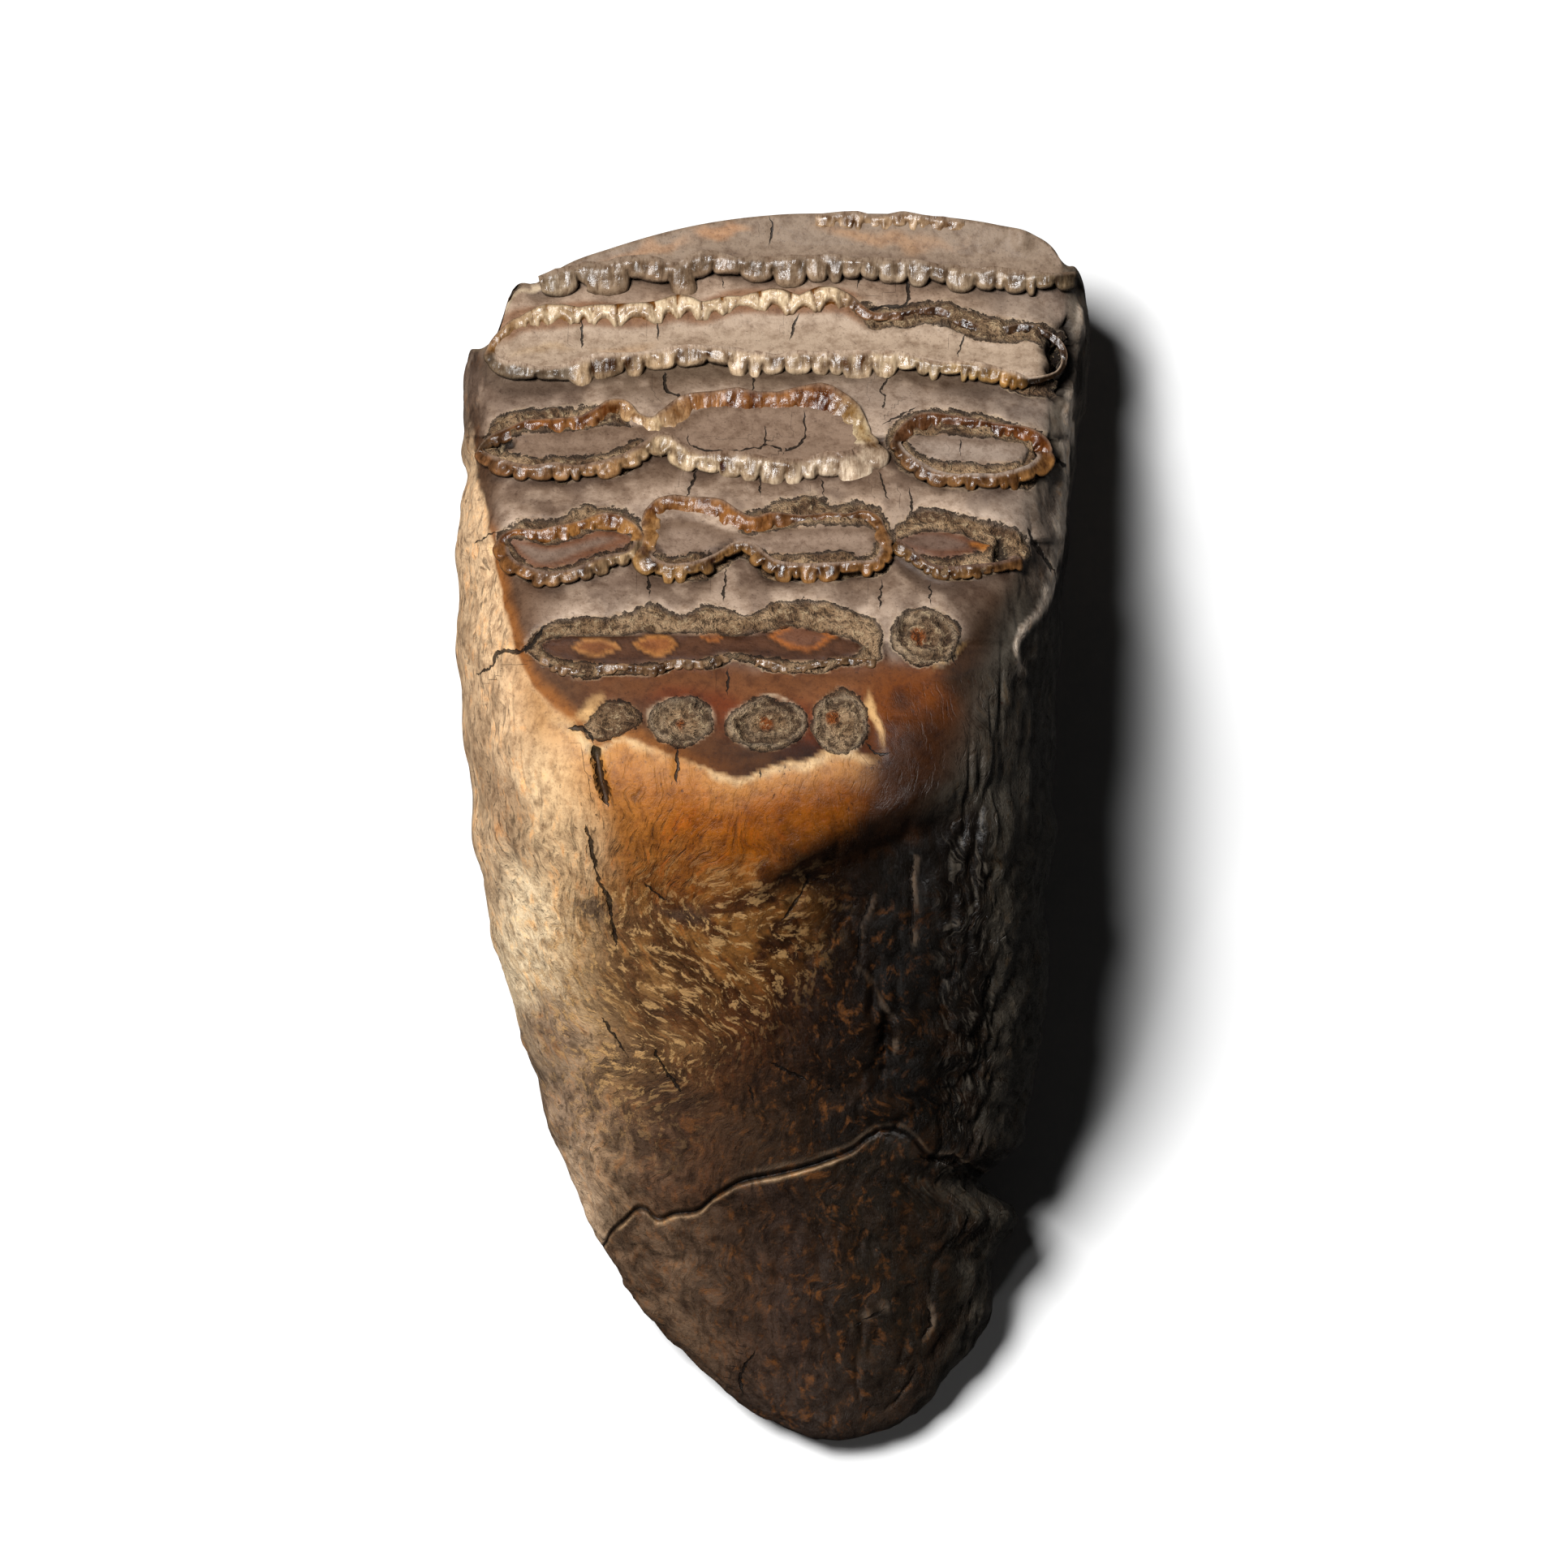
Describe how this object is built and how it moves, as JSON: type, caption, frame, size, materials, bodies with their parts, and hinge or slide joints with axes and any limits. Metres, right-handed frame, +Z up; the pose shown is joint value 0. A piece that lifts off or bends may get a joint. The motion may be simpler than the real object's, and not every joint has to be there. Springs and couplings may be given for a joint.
{
  "type": "fossil mammoth molar",
  "caption": "Fossil mammoth cheek tooth lying on its base: a worn chewing table with low enamel ridges and a long sloping unworn heel with a break across it.",
  "frame": {"origin": "on the flat resting spot under the middle of the tooth, at the height of the surface it lies on", "axes": "+Y along the tooth from the unworn heel to the worn front end, +X across it to the right as seen from above, +Z up out of the chewing table"},
  "size_m": [0.079, 0.1526, 0.0686],
  "materials": {
    "fossil_tooth": "polished mineralised tooth: pale brown cement, cream and orange enamel, amber to near-black heel"
  },
  "bodies": {
    "root": {"molar": "fossil_tooth"}
  },
  "joints": []
}
